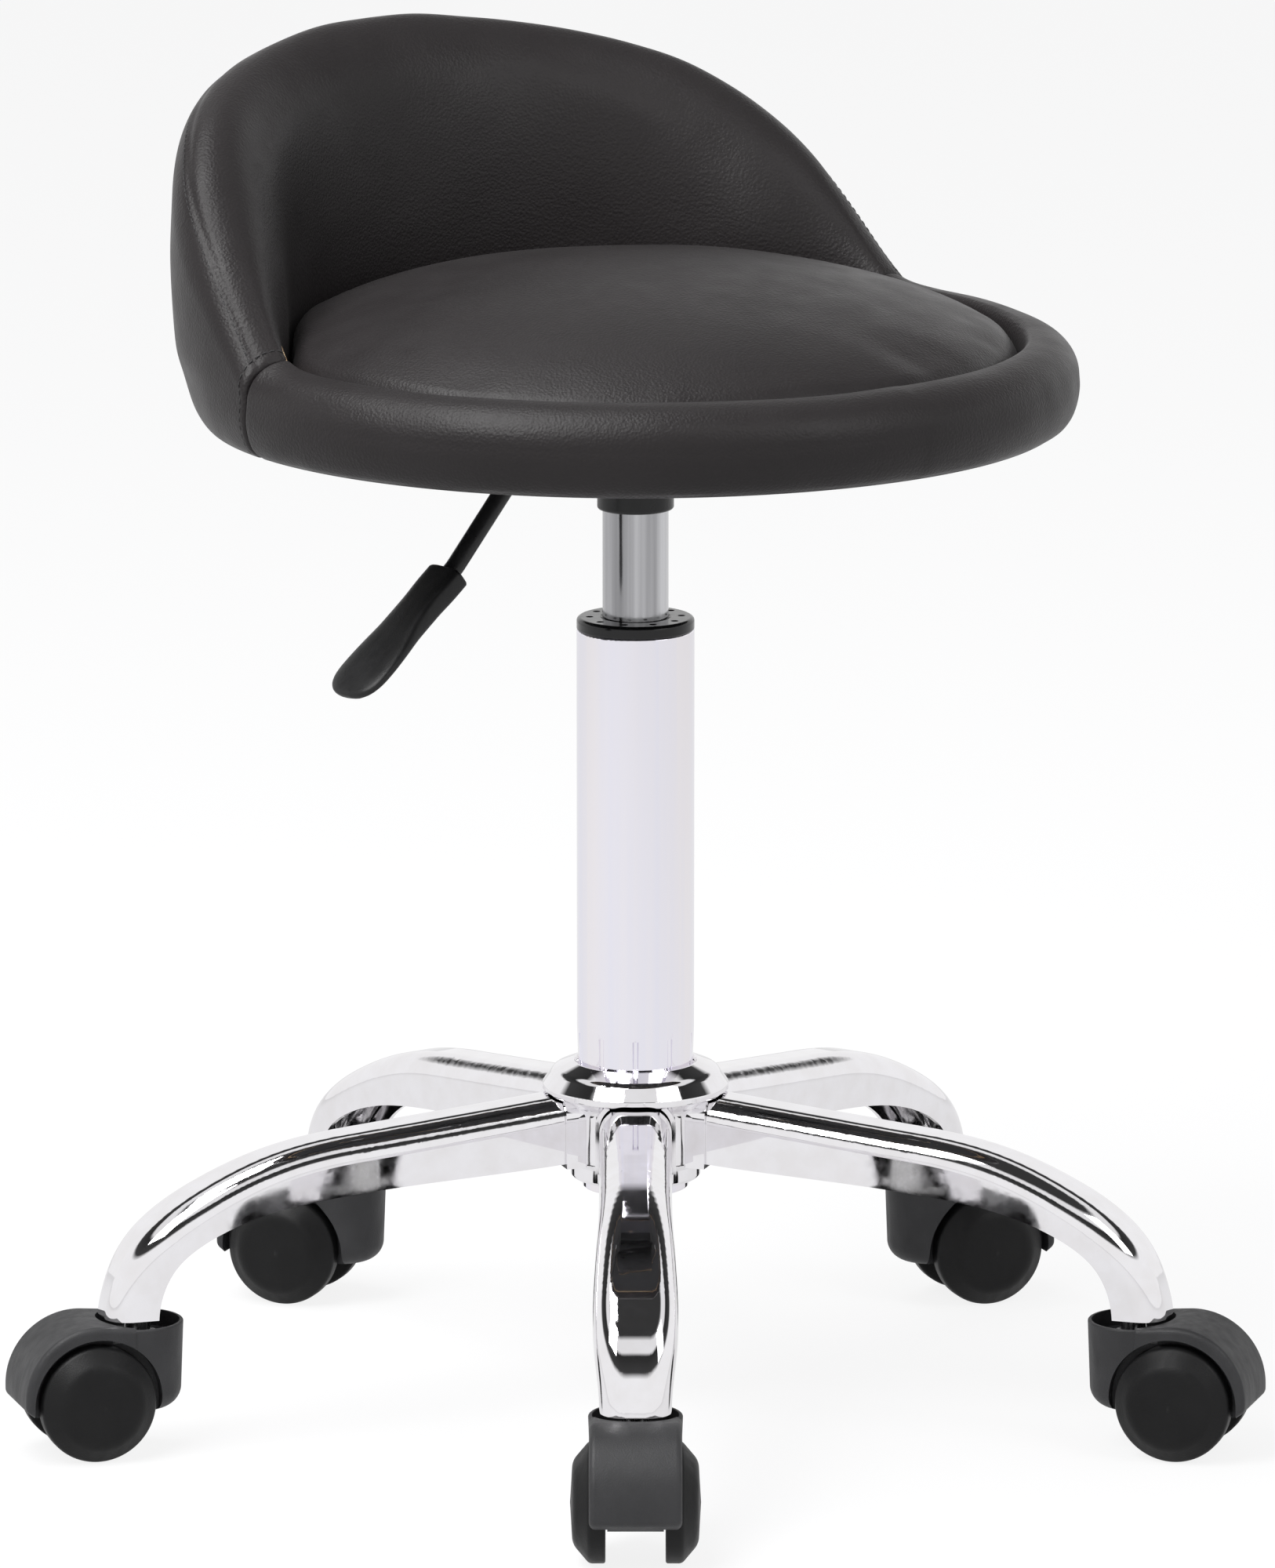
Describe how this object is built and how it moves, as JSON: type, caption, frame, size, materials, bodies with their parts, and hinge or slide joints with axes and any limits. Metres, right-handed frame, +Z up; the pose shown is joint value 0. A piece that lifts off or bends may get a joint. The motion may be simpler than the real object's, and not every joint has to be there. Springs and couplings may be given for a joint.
{
  "type": "swivel stool",
  "caption": "Height-adjustable swivel stool with a round padded seat, a low wraparound back, a gas column with a side lever and a chromed five-arm base on twin-wheel casters.",
  "frame": {"origin": "on the floor, on the column axis", "axes": "+Z up, the seat faces -Y, +X to the sitter's left as seen from the front"},
  "size_m": [0.5325, 0.5184, 0.5821],
  "materials": {
    "chrome": "polished",
    "steel": "satin",
    "zinc_socket": "satin",
    "black_steel": "satin powder coat",
    "bush_plastic": "gloss",
    "hood_plastic": "matt",
    "wheel_plastic": "matt",
    "paddle_plastic": "satin",
    "plywood": "raw",
    "leather": "semi-matt grained",
    "cloth": "woven"
  },
  "bodies": {
    "base": {"base_hub": "chrome", "stem_sockets": "zinc_socket", "column_tube": "chrome", "column_bush": "bush_plastic", "column_floor": "steel", "lower_race": "steel", "bearing_balls": "steel", "arm_1": "chrome", "arm_2": "chrome", "arm_3": "chrome", "arm_4": "chrome", "arm_5": "chrome"},
    "rod": {"piston_rod": "steel", "rod_clip": "steel", "piston": "steel", "upper_race": "steel"},
    "seat": {"gas_cylinder": "steel", "rod_gland": "bush_plastic", "mechanism_dish": "black_steel", "mechanism_socket": "black_steel", "lever_pin": "steel", "plate_screws": "steel", "tee_nuts": "steel", "seat_board": "plywood", "seat_cushion": "leather", "seat_rim": "leather", "backrest_pad": "leather", "backrest_shell": "plywood", "backrest_panel": "leather", "backrest_screws": "steel", "dust_cover": "cloth"},
    "valve": {"valve_pin": "steel"},
    "lever": {"lever_rod": "black_steel", "lever_paddle": "paddle_plastic"},
    "caster_1": {"caster_stem_1": "steel", "caster_hood_1": "hood_plastic", "caster_axle_1": "steel"},
    "wheel_1_left": {"caster_wheel_1_left": "wheel_plastic"},
    "wheel_1_right": {"caster_wheel_1_right": "wheel_plastic"},
    "caster_2": {"caster_stem_2": "steel", "caster_hood_2": "hood_plastic", "caster_axle_2": "steel"},
    "wheel_2_left": {"caster_wheel_2_left": "wheel_plastic"},
    "wheel_2_right": {"caster_wheel_2_right": "wheel_plastic"},
    "caster_3": {"caster_stem_3": "steel", "caster_hood_3": "hood_plastic", "caster_axle_3": "steel"},
    "wheel_3_left": {"caster_wheel_3_left": "wheel_plastic"},
    "wheel_3_right": {"caster_wheel_3_right": "wheel_plastic"},
    "caster_4": {"caster_stem_4": "steel", "caster_hood_4": "hood_plastic", "caster_axle_4": "steel"},
    "wheel_4_left": {"caster_wheel_4_left": "wheel_plastic"},
    "wheel_4_right": {"caster_wheel_4_right": "wheel_plastic"},
    "caster_5": {"caster_stem_5": "steel", "caster_hood_5": "hood_plastic", "caster_axle_5": "steel"},
    "wheel_5_left": {"caster_wheel_5_left": "wheel_plastic"},
    "wheel_5_right": {"caster_wheel_5_right": "wheel_plastic"}
  },
  "joints": [
    {"name": "seat_swivel", "type": "hinge", "parent": "base", "child": "rod", "pos_m": [0, 0, 0.115], "axis": [0, 0, 1], "continuous": true},
    {"name": "seat_height", "type": "slide", "parent": "rod", "child": "seat", "axis": [0, 0, 1], "range_m": [-0.04, 0.08]},
    {"name": "lever_pull", "type": "hinge", "parent": "seat", "child": "lever", "pos_m": [-0.025, 0, 0.424], "axis": [0, 1, 0], "range_deg": [0, 5.5], "stiffness_Nm_per_rad": 8, "springref_deg": -2.86},
    {"name": "valve_press", "type": "slide", "parent": "seat", "child": "valve", "axis": [0, 0, -1], "range_m": [0, 0.0025]},
    {"name": "caster_1_swivel", "type": "hinge", "parent": "base", "child": "caster_1", "pos_m": [-0.14244, -0.16975, 0.06], "axis": [0, 0, 1], "continuous": true},
    {"name": "wheel_1_left_spin", "type": "hinge", "parent": "caster_1", "child": "wheel_1_left", "pos_m": [-0.15658, -0.18661, 0.025], "axis": [0.766, -0.6428, 0], "continuous": true},
    {"name": "wheel_1_right_spin", "type": "hinge", "parent": "caster_1", "child": "wheel_1_right", "pos_m": [-0.15658, -0.18661, 0.025], "axis": [0.766, -0.6428, 0], "continuous": true},
    {"name": "caster_2_swivel", "type": "hinge", "parent": "base", "child": "caster_2", "pos_m": [0.11743, -0.18793, 0.06], "axis": [0, 0, 1], "continuous": true},
    {"name": "wheel_2_left_spin", "type": "hinge", "parent": "caster_2", "child": "wheel_2_left", "pos_m": [0.12909, -0.20658, 0.025], "axis": [0.848, 0.5299, 0], "continuous": true},
    {"name": "wheel_2_right_spin", "type": "hinge", "parent": "caster_2", "child": "wheel_2_right", "pos_m": [0.12909, -0.20658, 0.025], "axis": [0.848, 0.5299, 0], "continuous": true},
    {"name": "caster_3_swivel", "type": "hinge", "parent": "base", "child": "caster_3", "pos_m": [0.21502, 0.05361, 0.06], "axis": [0, 0, 1], "continuous": true},
    {"name": "wheel_3_left_spin", "type": "hinge", "parent": "caster_3", "child": "wheel_3_left", "pos_m": [0.23569, 0.04609, 0.025], "axis": [0.342, 0.9397, 0], "continuous": true},
    {"name": "wheel_3_right_spin", "type": "hinge", "parent": "caster_3", "child": "wheel_3_right", "pos_m": [0.23569, 0.04609, 0.025], "axis": [0.342, 0.9397, 0], "continuous": true},
    {"name": "caster_4_swivel", "type": "hinge", "parent": "base", "child": "caster_4", "pos_m": [0.01546, 0.22106, 0.06], "axis": [0, 0, 1], "continuous": true},
    {"name": "wheel_4_left_spin", "type": "hinge", "parent": "caster_4", "child": "wheel_4_left", "pos_m": [0.00446, 0.24011, 0.025], "axis": [-0.866, -0.5, 0], "continuous": true},
    {"name": "wheel_4_right_spin", "type": "hinge", "parent": "caster_4", "child": "wheel_4_right", "pos_m": [0.00446, 0.24011, 0.025], "axis": [-0.866, -0.5, 0], "continuous": true},
    {"name": "caster_5_swivel", "type": "hinge", "parent": "base", "child": "caster_5", "pos_m": [-0.20546, 0.08301, 0.06], "axis": [0, 0, 1], "continuous": true},
    {"name": "wheel_5_left_spin", "type": "hinge", "parent": "caster_5", "child": "wheel_5_left", "pos_m": [-0.22586, 0.09125, 0.025], "axis": [-0.3746, -0.9272, 0], "continuous": true},
    {"name": "wheel_5_right_spin", "type": "hinge", "parent": "caster_5", "child": "wheel_5_right", "pos_m": [-0.22586, 0.09125, 0.025], "axis": [-0.3746, -0.9272, 0], "continuous": true}
  ],
  "couplings": [
    {"joint": "valve_press", "follows": "lever_pull", "m_per_rad": 0.025}
  ]
}
